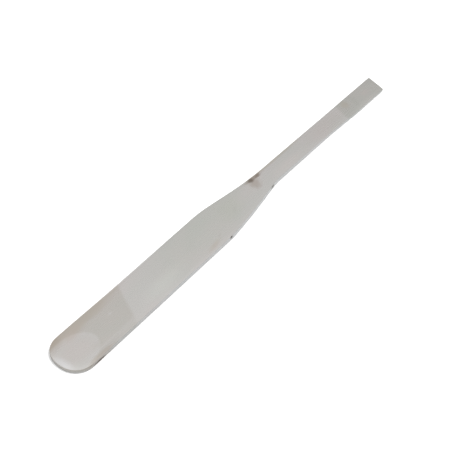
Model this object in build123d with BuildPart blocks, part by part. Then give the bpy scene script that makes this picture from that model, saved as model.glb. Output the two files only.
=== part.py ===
"""Sculpting spatula, forged and ground from one piece of stainless steel.

A wide blade with a rounded nose, a narrow flat handle, and a thin end that is cut off at a slight
angle. The tool is one piece of metal, so it is one solid. Millimetres, +X from the nose to the cut
end, +Z up, origin under the middle of the tool on the surface that it lies on.
"""

import os
from math import radians, tan

from build123d import *

# Places along the tool, measured from its middle.
length = 200
nose_x = -length / 2
end_x = length / 2
crest_x = 25  # thickest place
waist_x = 57.5  # the narrow stretch of the handle ends
lift_x = 60  # the underside leaves the table
thin_x = 72  # start of the thin end
flat_x = 77.5  # the thin end reaches its full width

# Outline of the blade.
blade_width = 18
nose_radius = 12.8
nose_corner_radius = 7.5

# The tool is ground by hand, so its left and right sides differ a little. The left side of the blade
# is faintly hollow, and the right shoulder tapers in a faint curve.
hollow_start_x = -90
hollow_start_radius = 200
hollow_x = -66
hollow_y = 8.75
hollow_radius = 700

left_shoulder_x = -14.3
left_shoulder_radius = 70
left_neck_x = 12.3
left_neck_y = 5.0
left_neck_radius = 150
left_waist_y = 4.6
left_flat_y = 4.45
left_end_y = 4.12

right_shoulder_x = -15
right_shoulder_radius = 52
right_taper_x = 0
right_taper_y = -7.15
right_taper_radius = 100
right_neck_x = 19.2
right_neck_y = -3.95
right_neck_radius = 27
right_waist_y = -4.28
right_flat_y = -5.2
right_end_y = -5.5

waist_radius = 100
flat_radius = 60
end_angle = 18  # slant of the cut, off square
end_corner_radius = 0.5

# Heights of the top above the table, and of the underside at the thin end.
nose_height = 2.0
crest_height = 2.1
thin_height = 1.4
end_height = 1.3
end_lift = 0.45
crest_radius = 900
thin_radius = 600

edge_radius = 0.25  # polished rim, top and bottom
spare = 1  # the side view is drawn this much longer at both ends, and the plan trims it

# Where the nose's arc would meet the blade's sides.
nose_start_x = nose_x + nose_radius - (nose_radius**2 - (blade_width / 2) ** 2) ** 0.5
# The cut's long and short corners before they are rounded. Rounding takes the long one back to end_x.
long_corner_x = end_x + end_corner_radius * (1 / tan(radians(90 - end_angle) / 2) - 1)
short_corner_x = long_corner_x - (left_end_y - right_end_y) * tan(radians(end_angle))


def is_wall(face):
    """True for the faces that stand upright round the tool."""
    return abs(face.normal_at().Z) < 0.1


def runs_round(edge):
    """True for the edges that run round the tool's rim, not up its wall."""
    return abs((edge % 0.5).Z) < 0.5


with BuildPart() as spatula:
    # Side view: the underside, the top, and the thickness between them.
    with BuildSketch(Plane.XZ):
        with BuildLine():
            underside = FilletPolyline(
                (nose_x - spare, 0),
                (lift_x, 0),
                (end_x + spare, end_lift),
                radius=thin_radius,
            )
            top = FilletPolyline(
                (nose_x - spare, nose_height),
                (crest_x, crest_height),
                (thin_x, thin_height),
                (end_x + spare, end_height),
                radius=[crest_radius, thin_radius],
            )
            Line(underside @ 0, top @ 0)
            Line(underside @ 1, top @ 1)
        make_face()
    extrude(amount=blade_width, both=True)

    # Plan: the blade, and a handle that swings a little to one side.
    with BuildSketch(Plane.XY) as plan:
        with BuildLine():
            left = FilletPolyline(
                (nose_start_x, blade_width / 2),
                (hollow_start_x, blade_width / 2),
                (hollow_x, hollow_y),
                (left_shoulder_x, blade_width / 2),
                (left_neck_x, left_neck_y),
                (waist_x, left_waist_y),
                (flat_x, left_flat_y),
                (long_corner_x, left_end_y),
                radius=[
                    hollow_start_radius,
                    hollow_radius,
                    left_shoulder_radius,
                    left_neck_radius,
                    waist_radius,
                    flat_radius,
                ],
            )
            right = FilletPolyline(
                (nose_start_x, -blade_width / 2),
                (right_shoulder_x, -blade_width / 2),
                (right_taper_x, right_taper_y),
                (right_neck_x, right_neck_y),
                (waist_x, right_waist_y),
                (flat_x, right_flat_y),
                (short_corner_x, right_end_y),
                radius=[
                    right_shoulder_radius,
                    right_taper_radius,
                    right_neck_radius,
                    waist_radius,
                    flat_radius,
                ],
            )
            ThreePointArc(left @ 0, (nose_x, 0), right @ 0)
            Line(left @ 1, right @ 1)
        make_face()
        fillet(plan.vertices().group_by(Axis.X)[0], nose_corner_radius)
        fillet(plan.vertices().sort_by(Axis.X)[-2:], end_corner_radius)
    extrude(amount=2 * crest_height, mode=Mode.INTERSECT)

    rim = spatula.faces().filter_by(is_wall).edges().filter_by(runs_round)
    fillet(rim, edge_radius)

spatula.part.label = "spatula"
os.makedirs("parts", exist_ok=True)
export_step(spatula.part, "parts/spatula.step")
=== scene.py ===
"""Looks of the sculpting spatula: one forged, ground and polished piece of stainless steel on a pale floor.

The tool's mesh is built here in millimetres, on the CAD model's outline and side view, and turned into
metres at the end. It adds what the CAD model leaves plain: the crowned and slightly uneven faces of hand
grinding, a nose that is rolled off by buffing, and the steel itself. The left side is +Y, the right is -Y.
"""

import math

import bpy
import numpy as np
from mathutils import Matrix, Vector
from mathutils.kdtree import KDTree


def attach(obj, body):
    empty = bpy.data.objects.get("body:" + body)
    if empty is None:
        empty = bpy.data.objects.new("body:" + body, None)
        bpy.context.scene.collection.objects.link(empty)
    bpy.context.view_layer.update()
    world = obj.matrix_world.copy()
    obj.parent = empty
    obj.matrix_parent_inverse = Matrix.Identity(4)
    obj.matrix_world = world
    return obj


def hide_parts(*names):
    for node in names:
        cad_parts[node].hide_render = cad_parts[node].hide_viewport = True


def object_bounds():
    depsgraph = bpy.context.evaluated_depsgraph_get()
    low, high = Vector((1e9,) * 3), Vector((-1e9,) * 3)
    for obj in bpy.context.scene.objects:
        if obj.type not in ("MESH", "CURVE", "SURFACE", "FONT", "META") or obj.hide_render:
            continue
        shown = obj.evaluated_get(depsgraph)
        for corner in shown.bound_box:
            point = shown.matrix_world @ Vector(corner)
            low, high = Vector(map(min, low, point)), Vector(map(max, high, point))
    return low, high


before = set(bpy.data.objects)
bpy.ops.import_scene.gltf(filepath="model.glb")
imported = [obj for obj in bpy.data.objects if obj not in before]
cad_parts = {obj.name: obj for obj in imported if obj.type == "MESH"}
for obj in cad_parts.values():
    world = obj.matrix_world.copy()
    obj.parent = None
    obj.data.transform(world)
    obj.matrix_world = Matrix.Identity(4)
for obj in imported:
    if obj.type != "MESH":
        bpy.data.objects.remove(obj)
cad_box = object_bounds()
cad_low, cad_high = cad_box

MM = 0.001
SEED = 7  # for the top face's waves, and the next number for the underside's

# The CAD model's own outline, in millimetres. Its box gives the two ends and the blade's half width.
NOSE_X = round(cad_low[0] / MM, 1)
END_X = round(cad_high[0] / MM, 1)
BLADE_HALF = round(cad_high[1] / MM, 1)
NOSE_RADIUS = 12.8
NOSE_CORNER_RADIUS = 7.5
# Corners of the two sides, from the nose on: x, y, and the radius that rounds the corner.
LEFT_SIDE = [
    (-90.0, BLADE_HALF, 200.0),
    (-66.0, 8.75, 700.0),
    (-14.3, BLADE_HALF, 70.0),
    (12.3, 5.0, 150.0),
    (57.5, 4.6, 100.0),
    (77.5, 4.45, 60.0),
]
RIGHT_SIDE = [
    (-15.0, -BLADE_HALF, 52.0),
    (0.0, -7.15, 100.0),
    (19.2, -3.95, 27.0),
    (57.5, -4.28, 100.0),
    (77.5, -5.2, 60.0),
]
LEFT_END_Y = 4.12
RIGHT_END_Y = -5.5
END_ANGLE = math.radians(18)
END_CORNER_RADIUS = 0.5

# Its side view, as x and height.
TOP_LINE = [(-101.0, 2.0), (25.0, 2.1), (72.0, 1.4), (101.0, 1.3)]
UNDER_LINE = [(-101.0, 0.0), (60.0, 0.0), (101.0, 0.45)]

EDGE_RADIUS = 0.2  # rounding of the rim, top and bottom

# How grinding and buffing shaped the faces, in millimetres.
TOP_CROWN = 0.03  # how much lower a face is at its sides, as a share of the thickness
UNDER_CROWN = 0.025
WAVE_DEPTH = 0.02
WAVE_COUNT = 14
LONGEST_WAVE = 70
RIM_REACH, RIM_DEPTH = 1.7, 0.05  # how far in from the outline buffing reaches, and how deep
NOSE_REACH, NOSE_DEPTH = 5.0, 0.3
NOSE_FADE = (-99, -86)  # along the tool, where the deep buffing of the nose starts to fade, and ends
NOSE_Y = -1.5  # across the tool, where the nose is buffed most
NOSE_SIDES = (1.5, 6.5)  # how far to either side of there it starts to fade, and levels off

# Spacing of the mesh, in millimetres.
LONG_STEP = 0.75  # along the tool
CROSS_STEP = 0.5  # across it
FINE_STEP = 0.1  # at the cut end and at the rims
NOSE_STEP = 0.5  # along the tool, at the nose
ROUNDING_STEPS = 6  # round each edge
WALL_ROWS = (0.25, 0.5, 0.75)  # shares of the way down the upright wall


# ---------------------------------------------------------------- outline


def rounded(points, radii, arc_step=math.radians(2)):
    """A polyline with its inner corners rounded, as an array of points."""
    points = [np.array(point, float) for point in points]
    line = [points[0]]
    for before, corner, after, radius in zip(points, points[1:], points[2:], radii):
        into = (corner - before) / np.linalg.norm(corner - before)
        out = (after - corner) / np.linalg.norm(after - corner)
        turn = math.atan2(into[0] * out[1] - into[1] * out[0], into @ out)
        start = corner - into * radius * math.tan(abs(turn) / 2)
        centre = start + math.copysign(radius, turn) * np.array([-into[1], into[0]])
        spoke = start - centre
        turned = np.array([-spoke[1], spoke[0]])
        steps = max(2, math.ceil(abs(turn) / arc_step))
        for angle in np.linspace(0, turn, steps + 1):
            line.append(centre + spoke * math.cos(angle) + turned * math.sin(angle))
    line.append(points[-1])
    return np.array(line)


def nose_line():
    """Half of the nose, from its tip round to the left side of the blade."""
    centre = np.array([NOSE_X + NOSE_RADIUS, 0.0])
    corner_y = BLADE_HALF - NOSE_CORNER_RADIUS
    gap = NOSE_RADIUS - NOSE_CORNER_RADIUS
    corner = centre + [-math.sqrt(gap**2 - corner_y**2), corner_y]
    meet = math.pi - math.asin(corner_y / gap)
    front_count, bend_count = 30, 60
    front = np.linspace(math.pi, meet, front_count)
    bend = np.linspace(meet, math.pi / 2, bend_count)[1:]
    return np.concatenate(
        [
            centre + NOSE_RADIUS * np.stack([np.cos(front), np.sin(front)], 1),
            corner + NOSE_CORNER_RADIUS * np.stack([np.cos(bend), np.sin(bend)], 1),
        ]
    )


def side_line(side, stations, end_y):
    """One side of the tool, from the nose's tip to the middle of the cut, and the cut's sharp corner."""
    slope = math.tan(END_ANGLE)
    # The cut's long corner before it is rounded. Rounding takes it back to END_X.
    long_corner_x = END_X + END_CORNER_RADIUS * (1 / math.tan(math.pi / 4 - END_ANGLE / 2) - 1)
    middle_y = (LEFT_END_Y + RIGHT_END_Y) / 2
    corner, middle = [(long_corner_x - (LEFT_END_Y - y) * slope, y) for y in (end_y, middle_y)]
    nose = nose_line() * [1, side]
    points = [nose[-1], *[station[:2] for station in stations], corner, middle]
    radii = [station[2] for station in stations] + [END_CORNER_RADIUS]
    return np.concatenate([nose[:-1], rounded(points, radii)]), np.array(corner)


def line_length(line):
    return np.linalg.norm(np.diff(line, axis=0), axis=1).sum()


def distance_of(line, point):
    """How far along a line its nearest point to the given one is."""
    nearest = np.argmin(np.linalg.norm(line - point, axis=1))
    return line_length(line[: nearest + 1])


def along(line, distances):
    """Points of a line at the given distances from its start."""
    reach = np.concatenate([[0], np.cumsum(np.linalg.norm(np.diff(line, axis=0), axis=1))])
    return np.stack([np.interp(distances, reach, line[:, k]) for k in (0, 1)], 1)


def left_of(line, distances):
    """Unit normals that point to the left of a line, at the given distances."""
    nudge = 0.05
    ahead = along(line, distances + nudge) - along(line, distances - nudge)
    ahead /= np.linalg.norm(ahead, axis=1)[:, None]
    return np.stack([-ahead[:, 1], ahead[:, 0]], 1)


def spaced(length, first, last, step, growth=1.3):
    """Shares of a length, from 0 to 1: fine at both ends, growing to a steady step between them."""
    head, tail = [first], [last]
    for steps in (head, tail):
        while steps[-1] * growth < step:
            steps.append(steps[-1] * growth)
    middle = length - sum(head) - sum(tail)
    count = max(1, round(middle / step))
    gaps = head + [middle / count] * count + tail[::-1]
    return np.concatenate([[0], np.cumsum(gaps)]) / length


# ---------------------------------------------------------------- faces


def ease(a, b, x):
    """0 before a, 1 after b, and a smooth rise between them."""
    t = np.clip((x - a) / (b - a), 0, 1)
    return t * t * (3 - 2 * t)


def height_of(profile, x):
    """Height of a side view's line at x, with its corners eased over a few millimetres."""
    xs, zs = zip(*profile)
    reach, samples = 6, 13
    return np.mean([np.interp(x + shift, xs, zs) for shift in np.linspace(-reach, reach, samples)], axis=0)


def side_y(stations, end_y, x):
    """Where a side is at x, without the rounding of its corners."""
    xs = [station[0] for station in stations] + [END_X]
    ys = [station[1] for station in stations] + [end_y]
    return np.interp(x, xs, ys)


def across(x, y):
    """Where a point is across the tool: -1 at the right edge, 0 on the middle line, 1 at the left."""
    left, right = side_y(LEFT_SIDE, LEFT_END_Y, x), side_y(RIGHT_SIDE, RIGHT_END_Y, x)
    return (2 * y - left - right) / (left - right)


def grinding_waves(x, y, seed):
    """Shallow hollows that hand grinding leaves, between 0 and -WAVE_DEPTH, mostly across the tool."""
    rng = np.random.default_rng(seed)
    shorter, fainter, spread = 0.82, 0.85, 0.45
    total = np.zeros_like(x)
    for k in range(WAVE_COUNT):
        wavelength = LONGEST_WAVE * shorter**k
        heading = rng.normal(0, spread)
        phase = rng.uniform(0, 2 * math.pi)
        travel = x * math.cos(heading) + y * math.sin(heading)
        total += fainter**k * np.sin(2 * math.pi * travel / wavelength + phase)
    return -WAVE_DEPTH * 0.5 * (1 + np.tanh(total / 2))


def roll_off(to_edge, reach, depth, power=2):
    """Buffing takes a face down towards its edge."""
    return -depth * np.clip(1 - to_edge / reach, 0, 1) ** power


def thickness(x):
    return height_of(TOP_LINE, x) - height_of(UNDER_LINE, x)


def top_height(x, y, to_edge):
    """Height of the top face. At the nose it is rolled off deeper and more steeply than elsewhere."""
    z = height_of(TOP_LINE, x) - TOP_CROWN * thickness(x) * across(x, y) ** 2
    z += grinding_waves(x, y, SEED)
    at_nose = (1 - ease(*NOSE_FADE, x)) * (1 - 0.8 * ease(*NOSE_SIDES, abs(y - NOSE_Y)))
    nose = at_nose * roll_off(to_edge, NOSE_REACH, NOSE_DEPTH, power=4)
    return z + roll_off(to_edge, RIM_REACH, RIM_DEPTH) + nose


def under_height(x, y, to_edge):
    """Height of the underside."""
    z = height_of(UNDER_LINE, x) + UNDER_CROWN * thickness(x) * across(x, y) ** 2
    z -= grinding_waves(x, y, SEED + 1)
    return z - roll_off(to_edge, RIM_REACH, RIM_DEPTH)


# ---------------------------------------------------------------- mesh


def outline():
    """The whole plan as one closed line, clockwise from the nose's tip, and how far along its corners are."""
    left, left_corner = side_line(1, LEFT_SIDE, LEFT_END_Y)
    right, right_corner = side_line(-1, RIGHT_SIDE, RIGHT_END_Y)
    line = np.concatenate([left, right[::-1][1:]])
    corners = [(NOSE_X, BLADE_HALF), left_corner, right_corner, (NOSE_X, -BLADE_HALF)]
    return line, [distance_of(line, corner) for corner in corners]


def rim_distances(line, corners):
    """Where the rim's points lie along the outline, and the shares that space them along and across."""
    a, b, c, d = corners
    whole = line_length(line)
    along_shares = spaced(b - a, NOSE_STEP, FINE_STEP, LONG_STEP)
    across_shares = spaced(c - b, FINE_STEP, FINE_STEP, CROSS_STEP)
    distances = [
        a + along_shares * (b - a),
        b + across_shares[1:] * (c - b),
        d - along_shares[::-1][1:] * (d - c),
        a + whole - across_shares[::-1][1:-1] * (a + whole - d),
    ]
    return np.concatenate(distances), along_shares, across_shares


def patch(loop, along_shares, across_shares):
    """Fills a loop with a grid. Its rows run across the tool, and bend near the ends to follow them."""
    rows, columns = len(along_shares) - 1, len(across_shares) - 1
    left = loop[: rows + 1]
    cut = loop[rows : rows + columns + 1]
    right = loop[rows + columns : 2 * rows + columns + 1][::-1]
    nose = np.concatenate([loop[2 * rows + columns :], loop[:1]])[::-1]
    share = across_shares[None, :, None]
    grid = (1 - share) * left[:, None] + share * right[:, None]
    reach = 0.12
    for end, row in ((nose, 0), (cut, rows)):
        bulge = end - grid[row]
        fade = np.clip(1 - abs(along_shares - along_shares[row]) / reach, 0, 1) ** 2
        grid = grid + fade[:, None, None] * bulge[None]
    return grid


def loop_numbers(rows, columns):
    """The grid's own numbers of the points round its edge, in the loop's order."""
    number = np.arange((rows + 1) * (columns + 1)).reshape(rows + 1, columns + 1)
    return np.concatenate([number[:, 0], number[-1, 1:], number[-2::-1, -1], number[0, -2:0:-1]])


def distances_to(line, points):
    """Distance from each point to a line."""
    sample_step = 0.1
    samples = along(line, np.arange(0, line_length(line), sample_step))
    tree = KDTree(len(samples))
    for number, sample in enumerate(samples):
        tree.insert((*sample, 0), number)
    tree.balance()
    return np.array([tree.find((*point, 0))[2] for point in points])


def face_points(height, grid, line):
    """Points of the top or the underside: the grid, lifted to that face's height."""
    flat = grid.reshape(-1, 2)
    z = height(flat[:, 0], flat[:, 1], distances_to(line, flat))
    return np.column_stack([flat, z])


def build_tool():
    """The whole tool as one closed mesh of quads."""
    line, corners = outline()
    twice_round = np.concatenate([line, line[1:]])
    distances, along_shares, across_shares = rim_distances(line, corners)
    rows, columns = len(along_shares) - 1, len(across_shares) - 1
    rim = along(twice_round, distances)
    normals = left_of(twice_round, distances)

    grid = patch(rim - normals * EDGE_RADIUS, along_shares, across_shares)
    top = face_points(top_height, grid, line)
    under = face_points(under_height, grid, line)
    edge = loop_numbers(rows, columns)
    top_edge, under_edge = top[edge, 2], under[edge, 2]

    turns = np.linspace(0, math.pi / 2, ROUNDING_STEPS + 1)
    inset = EDGE_RADIUS * (1 - np.sin(turns))
    drop = EDGE_RADIUS * (1 - np.cos(turns))
    rings = [(inset[k], top_edge - drop[k]) for k in range(1, len(turns))]
    wall_top, wall_foot = top_edge - EDGE_RADIUS, under_edge + EDGE_RADIUS
    rings += [(0, wall_top + share * (wall_foot - wall_top)) for share in WALL_ROWS]
    rings += [(inset[k], under_edge + drop[k]) for k in range(len(turns) - 1, 0, -1)]
    ring_points = [np.column_stack([rim - normals * away, z]) for away, z in rings]

    loops = [edge]
    for k in range(len(rings)):
        loops.append(len(top) + k * len(rim) + np.arange(len(rim)))
    under_start = len(top) + len(rings) * len(rim)
    loops.append(under_start + edge)

    number = np.arange(len(top)).reshape(rows + 1, columns + 1)
    quads = np.stack([number[:-1, :-1], number[:-1, 1:], number[1:, 1:], number[1:, :-1]], -1).reshape(-1, 4)
    faces = [quads, under_start + quads[:, ::-1]]
    for upper, lower in zip(loops, loops[1:]):
        faces.append(np.stack([upper, np.roll(upper, -1), np.roll(lower, -1), lower], 1))

    points = np.concatenate([top, *ring_points, under]) * MM
    mesh = bpy.data.meshes.new("spatula_steel")
    mesh.from_pydata(points.tolist(), [], np.concatenate(faces).tolist())
    mesh.validate()
    mesh.shade_smooth()
    return bpy.data.objects.new("spatula_steel", mesh)


# ---------------------------------------------------------------- material


def add(tree, kind, inputs=(), **settings):
    """Adds a shader node, sets its properties, and fills its inputs with numbers or other nodes' outputs."""
    node = tree.nodes.new(kind)
    for name, value in settings.items():
        setattr(node, name, value)
    for name, value in dict(inputs).items():
        if isinstance(value, bpy.types.NodeSocket):
            tree.links.new(value, node.inputs[name])
        else:
            node.inputs[name].default_value = value
    return node


def noise(tree, place, scale, stretch=(1, 1, 1), detail=3.0, roughness=0.5):
    """Noise between 0 and 1. Stretch scales the place first, so that marks can run along the tool."""
    scaled = add(tree, "ShaderNodeMapping", {"Vector": place, "Scale": stretch}).outputs[0]
    inputs = {"Vector": scaled, "Scale": scale, "Detail": detail, "Roughness": roughness}
    return add(tree, "ShaderNodeTexNoise", inputs).outputs["Fac"]


def remap(tree, value, low, high, to_low=0.0, to_high=1.0, smooth=True):
    inputs = {"Value": value, "From Min": low, "From Max": high, "To Min": to_low, "To Max": to_high}
    kind = "SMOOTHSTEP" if smooth else "LINEAR"
    return add(tree, "ShaderNodeMapRange", inputs, interpolation_type=kind).outputs["Result"]


def math_node(tree, operation, *values):
    return add(tree, "ShaderNodeMath", dict(enumerate(values)), operation=operation).outputs[0]


def mix(tree, factor, a, b, blend="MIX"):
    return add(tree, "ShaderNodeMix", {0: factor, 6: a, 7: b}, data_type="RGBA", blend_type=blend).outputs[2]


THROUGH = 2000  # a mark this tall reaches all the way through the tool

# A mark's oval, in millimetres: its middle, its size along, across and up, its heading in degrees, the
# softness of its outline, and how much that wobbles.
LENS = ((-94, -1, 0), (23, 16, THROUGH), 0, 0.12, 0.05)
# A painted glint: a small spot that the darker zone of the blade leaves out.
GLINT = ((-73, 1.5, 0), (2.2, 1.6, THROUGH), 0, 1.0, 0.0)

# A dividing line: a point on it, the heading of its far side in degrees, and its softness in millimetres.
# Where the darker zone of the blade ends.
DARKER_BLADE_END = (-65.7, 0, -27, 1.6)
RIGHT_RIM = (0, -6.0, 90, 1.8)
# Where the painted shade on the last stretch starts.
PAINTED_END_SHADE_START = (71.8, 0, -20, 1.6)
# Where the painted shade on the nose's wall ends.
NOSE_WALL_SHADE_END = (-92.5, 0, 180, 3.0)

# The bare steel. How fine its clouds and its streaks are is given along, across and up.
PALE_STEEL = (0.585, 0.56, 0.545, 1)
GREY_STEEL = (0.565, 0.555, 0.535, 1)
CLOUD_FINENESS = (45, 90, 90)
STREAK_FINENESS = (60, 1500, 1500)
STREAK_ROUGHNESS = (0.263, 0.277)
STREAK_STRENGTH = 0.005
STREAK_DEPTH = 0.00001  # metres

# Shares of red, green and blue that a wide zone takes away.
# A darker zone of the blade.
DARKER_BLADE = (0.09, 0.1, 0.125)
# Painted shade on the last stretch of the thin end.
PAINTED_END_SHADE = (0.11, 0.1, 0.12)
# Painted shade on the upright wall.
PAINTED_WALL_SHADE = (0.26, 0.235, 0.21)
# Painted shade on the upright wall at the nose.
NOSE_WALL_SHADE = (0.22, 0.26, 0.31)

# Marks: the oval, the shares of red, green and blue that the mark takes away, and the roughness it adds.
MARKS = {
    # Wide, faint tones of the blade: a painted reflection in its middle, a painted green sheen, and painted
    # shade at the shoulder.
    "painted_middle_reflection": (((-50, -4, 0), (32, 10, THROUGH), 3, 0.9, 0.2), (-0.05, -0.065, -0.055), 0.0),
    "green_sheen": (((-20, 1, 0), (76, 26, THROUGH), 4, 0.7, 0.2), (0.055, 0.03, 0.055), 0.0),
    "shoulder_shade": (((-5, 1, 0), (22, 15, THROUGH), 20, 0.9, 0.2), (0.03, 0.01, 0.035), 0.0),
    # Tones at the nose, and a painted highlight along its edge, which is also a little smoother.
    "pale_lens": (((-92, -1, 0), (22, 13, THROUGH), 0, 0.6, 0.1), (0.02, 0.035, 0.045), 0.0),
    "painted_nose_highlight": (((-99.4, -1.8, 2.1), (6.8, 12, 1.5), 0, 0.8, 0.1), (-0.12, -0.15, -0.2), -0.04),
    "brown_rim": (((-82.5, 9.0, 0), (52, 10.8, THROUGH), 0, 0.6, 0.3), (0.065, 0.11, 0.155), 0.05),
    "brown_tip": (((-95.5, 6.8, 0), (13, 7, THROUGH), 30, 0.8, 0.2), (0.08, 0.1, 0.13), 0.0),
    "brown_corner": (((-88.0, -9.0, 0), (16, 4.2, THROUGH), 0, 0.6, 0.4), (0.09, 0.13, 0.17), 0.05),
    "grey_rim": (((-83.0, -8.0, 0), (18, 3.6, THROUGH), 0, 0.8, 0.2), (0.07, 0.07, 0.07), 0.0),
    "lens_fade": (((-86.0, -4.6, 0), (8, 4, THROUGH), 15, 1.0, 0.2), (0.04, 0.05, 0.06), 0.0),
    "pink_lens": (((-89, 4.6, 0), (16, 5, THROUGH), 0, 0.9, 0.3), (0.02, 0.04, 0.06), 0.0),
    # The blade's two rims.
    "left_rim": (((-57, 9.3, 0), (66, 2.8, THROUGH), 0, 0.5, 0.2), (-0.12, -0.13, -0.14), 0.0),
    "right_rim": (((-70, -9.3, 0), (42, 4.2, THROUGH), 0, 0.9, 0.3), (0.07, 0.07, 0.08), 0.0),
    # The handle: a painted reflection on its right half, painted shade along its left edge, and a pink tone.
    "painted_handle_reflection": (((31, -1.6, 0), (30, 7, THROUGH), 0, 0.9, 0.2), (-0.06, -0.03, -0.03), 0.0),
    "painted_handle_edge_shade": (((30, 4.5, 0), (44, 2.6, THROUGH), -1, 0.6, 0.3), (0.06, 0.08, 0.125), 0.0),
    "pink_handle": (((60, 0, 0), (44, 11, THROUGH), 0, 0.8, 0.2), (0.02, 0.04, 0.045), 0.0),
    # The thin end, with a painted reflection along its right edge.
    "end_smudge": (((77.0, 1.8, 0), (6, 7, THROUGH), -20, 0.8, 0.3), (0.04, 0.07, 0.115), 0.02),
    "end_streak": (((82.0, 0.5, 0), (4, 12, THROUGH), -20, 0.9, 0.2), (0.035, 0.035, 0.04), 0.0),
    "end_blush": (((90.0, -0.5, 0), (8, 5, THROUGH), 0, 0.9, 0.3), (-0.035, 0.0, -0.005), 0.0),
    "painted_end_edge_reflection": (((84.5, -4.8, 0), (32, 4.6, THROUGH), -1, 0.9, 0.2), (-0.06, -0.06, -0.06), 0.0),
    "end_corner": (((98.0, 2.6, 0), (12, 6, THROUGH), -20, 0.9, 0.2), (0.04, 0.03, 0.03), 0.0),
    # Smears near the shoulders.
    "shoulder_streak": (((-4.5, -1, 0), (8, 2.2, THROUGH), 32, 0.9, 0.3), (0.035, 0.035, 0.035), 0.0),
    "smear": (((-24.2, -6.9, 0), (12, 3.2, THROUGH), 8, 0.9, 0.4), (0.035, 0.075, 0.105), 0.03),
    "faint_smear": (((-19.0, -5.0, 0), (4, 1.4, THROUGH), 10, 0.9, 0.3), (0.04, 0.05, 0.05), 0.0),
    # Dark marks at the left of the neck.
    "neck_dark_patch": (((12.4, 2.0, 0), (7.4, 9.2, THROUGH), -20, 0.8, 0.4), (0.19, 0.235, 0.27), 0.1),
    "neck_dark_band": (((14.2, 4.3, 0), (14, 3.0, THROUGH), -4, 0.7, 0.5), (0.26, 0.3, 0.34), 0.2),
    "neck_spot": (((12.3, 4.1, 0), (4.2, 3.4, THROUGH), 0, 0.7, 0.5), (0.25, 0.27, 0.29), 0.2),
    "neck_tail": (((16.6, 3.8, 0), (4.6, 2.4, THROUGH), 0, 0.7, 0.5), (0.22, 0.26, 0.29), 0.2),
    # Dark specks on the upright wall, and a painted shadow at the foot of the nose's wall.
    "right_speck": (((15.8, -4.75, 1.35), (3.4, 1.4, 1.6), 8, 0.5, 0.4), (0.78, 0.81, 0.84), 0.2),
    "shoulder_speck": (((-16.6, -9.0, 1.5), (1.9, 1.6, 1.2), 0, 0.5, 0.4), (0.9, 0.92, 0.94), 0.2),
    "painted_nose_foot_shadow": (((-89.4, -8.9, 0.5), (7.6, 2.6, 2.0), 0, 0.5, 0.3), (0.76, 0.82, 0.86), 0.2),
}


def oval_mask(tree, place, middle, size, heading, softness, wobble):
    """1 inside an oval with a wobbly outline, 0 outside it."""
    inputs = {
        "Vector": place,
        "Location": Vector(middle) * MM,
        "Rotation": (0, 0, math.radians(heading)),
        "Scale": Vector(size) / 2 * MM,
    }
    oval = add(tree, "ShaderNodeMapping", inputs, vector_type="TEXTURE").outputs[0]
    reach = add(tree, "ShaderNodeVectorMath", {0: oval}, operation="LENGTH").outputs["Value"]
    ripple = noise(tree, oval, 2.5, detail=2.0)
    reach = math_node(tree, "MULTIPLY_ADD", ripple, 2 * wobble, reach)
    return remap(tree, reach, 1 - softness + wobble, 1 + wobble, 1.0, 0.0)


def side_mask(tree, place, x, y, heading, softness):
    """0 on the near side of a straight line through x, y and 1 on its far side, along the heading."""
    inputs = {
        "Vector": place,
        "Location": (x * MM, y * MM, 0),
        "Rotation": (0, 0, math.radians(heading)),
        "Scale": (softness * MM, softness * MM, 1),
    }
    turned = add(tree, "ShaderNodeMapping", inputs, vector_type="TEXTURE").outputs[0]
    ahead = add(tree, "ShaderNodeSeparateXYZ", {"Vector": turned}).outputs["X"]
    ahead = math_node(tree, "MULTIPLY_ADD", noise(tree, place, 250.0, detail=3.0), 0.8, ahead)
    return remap(tree, ahead, -0.1, 0.9)


def darken(tree, colour, mask, taken):
    """Takes shares of red, green and blue away where the mask is 1. A share below 0 brightens."""
    tint = mix(tree, mask, (1, 1, 1, 1), (*(1 - share for share in taken), 1))
    return mix(tree, 1.0, colour, tint, "MULTIPLY")


def darker_blade_mask(tree, place):
    """1 on a darker zone of the blade, between a slanted line and the pale lens at the nose.

    It is weaker along the right rim, and left out at one small spot, a painted glint.
    """
    before = math_node(tree, "SUBTRACT", 1.0, side_mask(tree, place, *DARKER_BLADE_END))
    inside = remap(tree, side_mask(tree, place, *RIGHT_RIM), 0.0, 1.0, 0.6, 1.0)
    mask = math_node(tree, "MULTIPLY", before, inside)
    for bare in (LENS, GLINT):
        around = math_node(tree, "SUBTRACT", 1.0, oval_mask(tree, place, *bare))
        mask = math_node(tree, "MULTIPLY", mask, around)
    return mask


def nose_wall_shade_mask(tree, place, flatness):
    """How strongly painted shade darkens the upright wall at the nose: most near its top, and 0 elsewhere."""
    steep = remap(tree, flatness, 0.98, 0.8)
    height = add(tree, "ShaderNodeSeparateXYZ", {"Vector": place}).outputs["Z"]
    towards_top = remap(tree, height, 0.3 * MM, 1.6 * MM, 0.4, 1.2)
    at_nose = side_mask(tree, place, *NOSE_WALL_SHADE_END)
    return math_node(tree, "MULTIPLY", math_node(tree, "MULTIPLY", steep, towards_top), at_nose)


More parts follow.
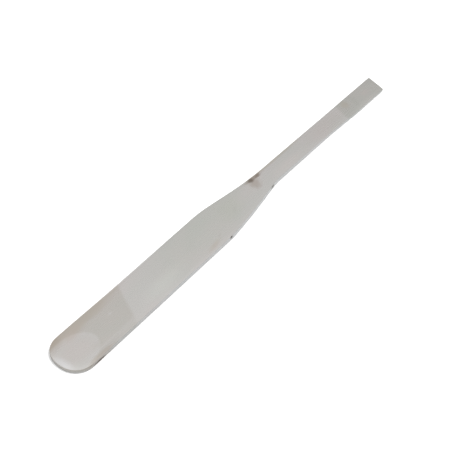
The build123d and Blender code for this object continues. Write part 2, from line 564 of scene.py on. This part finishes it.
def steel():
    """Satin-polished stainless steel, with grinding marks along the tool, stains from years of use, and
    painted shade, highlights and reflections.
    """
    material = bpy.data.materials.new("satin_steel")
    material.use_nodes = True
    tree = material.node_tree
    shader = tree.nodes["Principled BSDF"]
    coordinates = add(tree, "ShaderNodeTexCoord")
    place = coordinates.outputs["Object"]
    facing = add(tree, "ShaderNodeSeparateXYZ", {"Vector": coordinates.outputs["Normal"]}).outputs["Z"]
    on_top = remap(tree, facing, -0.6, 0.2)
    flatness = math_node(tree, "ABSOLUTE", facing)  # 1 on the faces, 0 on the upright wall
    shader.inputs["Metallic"].default_value = 1.0

    streaks = noise(tree, place, 1.0, STREAK_FINENESS, detail=3.0, roughness=0.6)
    clouds = remap(tree, noise(tree, place, 1.0, CLOUD_FINENESS, detail=2.0), 0.35, 0.65)
    colour = mix(tree, clouds, PALE_STEEL, GREY_STEEL)
    roughness = remap(tree, streaks, 0.3, 0.7, *STREAK_ROUGHNESS, smooth=False)

    # The wide zones: a darker zone of the blade, painted shade on the last stretch, and painted shade on the
    # ground upright edge, which is less bright than the faces and darkest at the nose.
    on_darker_blade = math_node(tree, "MULTIPLY", darker_blade_mask(tree, place), on_top)
    colour = darken(tree, colour, on_darker_blade, DARKER_BLADE)
    # Painted shade on the last stretch.
    colour = darken(tree, colour, side_mask(tree, place, *PAINTED_END_SHADE_START), PAINTED_END_SHADE)
    # Painted shade on the upright wall, by how far it faces sideways.
    colour = darken(tree, colour, remap(tree, flatness, 0.9, 0.4), PAINTED_WALL_SHADE)
    # Painted shade on the nose's wall, strongest near its top.
    colour = darken(tree, colour, nose_wall_shade_mask(tree, place, flatness), NOSE_WALL_SHADE)

    for oval, taken, added in MARKS.values():
        mask = math_node(tree, "MULTIPLY", oval_mask(tree, place, *oval), on_top)
        colour = darken(tree, colour, mask, taken)
        roughness = math_node(tree, "MULTIPLY_ADD", mask, added, roughness)

    tree.links.new(colour, shader.inputs["Base Color"])
    tree.links.new(roughness, shader.inputs["Roughness"])
    relief = {"Strength": STREAK_STRENGTH, "Distance": STREAK_DEPTH, "Height": streaks}
    bump = add(tree, "ShaderNodeBump", relief)
    tree.links.new(bump.outputs[0], shader.inputs["Normal"])
    return material


# ---------------------------------------------------------------- studio

CAMERA_AZIMUTH = math.radians(-51.6)
CAMERA_ELEVATION = math.radians(45.9)
CAMERA_DISTANCE = 383 * MM
CAMERA_TARGET = Vector((-12.1, -2.7, 0)) * MM
FOCAL_LENGTH = 78.8

# Level of the studio's light by the sine of the height it comes from: horizon 0, overhead 1.
SKY = [(0.0, 1.0), (0.3, 0.73), (0.59, 0.8), (0.777, 0.93), (0.9, 1.15), (1.0, 1.2)]
SKY_STRENGTH = 1.0

# The soft lamp and the floor, in metres and watts.
KEY_PLACE = (0.2, -0.4, 1.2)
KEY_SIZE = 0.5
KEY_POWER = 9.0
FLOOR_HALF = 3.0
FLOOR_COLOUR = (0.95, 0.95, 0.95, 1)
FLOOR_ROUGHNESS = 0.9


def add_floor():
    """A plain pale floor under the tool."""
    mesh = bpy.data.meshes.new("floor")
    corners = [(x * FLOOR_HALF, y * FLOOR_HALF, 0) for x, y in ((-1, -1), (1, -1), (1, 1), (-1, 1))]
    mesh.from_pydata(corners, [], [(0, 1, 2, 3)])
    floor = bpy.data.objects.new("floor", mesh)
    bpy.context.collection.objects.link(floor)
    material = bpy.data.materials.new("pale_floor")
    material.use_nodes = True
    shader = material.node_tree.nodes["Principled BSDF"]
    shader.inputs["Base Color"].default_value = FLOOR_COLOUR
    shader.inputs["Roughness"].default_value = FLOOR_ROUGHNESS
    floor.data.materials.append(material)


def add_light(name, place, target, size, power):
    """A round soft lamp. It lights the floor, and the metal doesn't mirror it."""
    light = bpy.data.lights.new(name, "AREA")
    light.shape = "DISK"
    light.size = size
    light.energy = power
    lamp = bpy.data.objects.new(name, light)
    lamp.location = place
    lamp.rotation_euler = (Vector(target) - Vector(place)).to_track_quat("-Z", "Y").to_euler()
    lamp.visible_camera = False
    lamp.visible_glossy = False
    bpy.context.collection.objects.link(lamp)


def add_surroundings():
    """A soft white studio, brightest overhead."""
    world = bpy.data.worlds.new("studio")
    bpy.context.scene.world = world
    world.use_nodes = True
    tree = world.node_tree
    direction = add(tree, "ShaderNodeTexCoord").outputs["Generated"]
    parts = add(tree, "ShaderNodeSeparateXYZ", {"Vector": direction})
    ramp = add(tree, "ShaderNodeValToRGB", {"Fac": parts.outputs["Z"]})
    stops = ramp.color_ramp.elements
    for place, level in SKY[1:-1]:
        stops.new(place)
    for stop, (place, level) in zip(stops, SKY):
        stop.position = place
        stop.color = (level, level, level, 1)
    tree.links.new(ramp.outputs["Color"], tree.nodes["Background"].inputs["Color"])
    tree.nodes["Background"].inputs["Strength"].default_value = SKY_STRENGTH


def add_camera():
    """The camera. Azimuth 0 looks along +Y."""
    camera = bpy.data.objects.new("camera", bpy.data.cameras.new("camera"))
    back = Vector(
        (
            math.sin(CAMERA_AZIMUTH) * math.cos(CAMERA_ELEVATION),
            -math.cos(CAMERA_AZIMUTH) * math.cos(CAMERA_ELEVATION),
            math.sin(CAMERA_ELEVATION),
        )
    )
    camera.location = CAMERA_TARGET + back * CAMERA_DISTANCE
    camera.rotation_euler = (math.pi / 2 - CAMERA_ELEVATION, 0, CAMERA_AZIMUTH)
    camera.data.lens = FOCAL_LENGTH
    camera.data.clip_start = 0.01
    bpy.context.collection.objects.link(camera)
    bpy.context.scene.camera = camera


tool = build_tool()
bpy.context.collection.objects.link(tool)
tool.data.materials.append(steel())
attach(tool, "root")
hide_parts("spatula")

add_floor()
add_surroundings()
add_light("key", KEY_PLACE, (0, 0, 0), KEY_SIZE, KEY_POWER)
add_camera()
bpy.context.scene.view_settings.view_transform = "Standard"
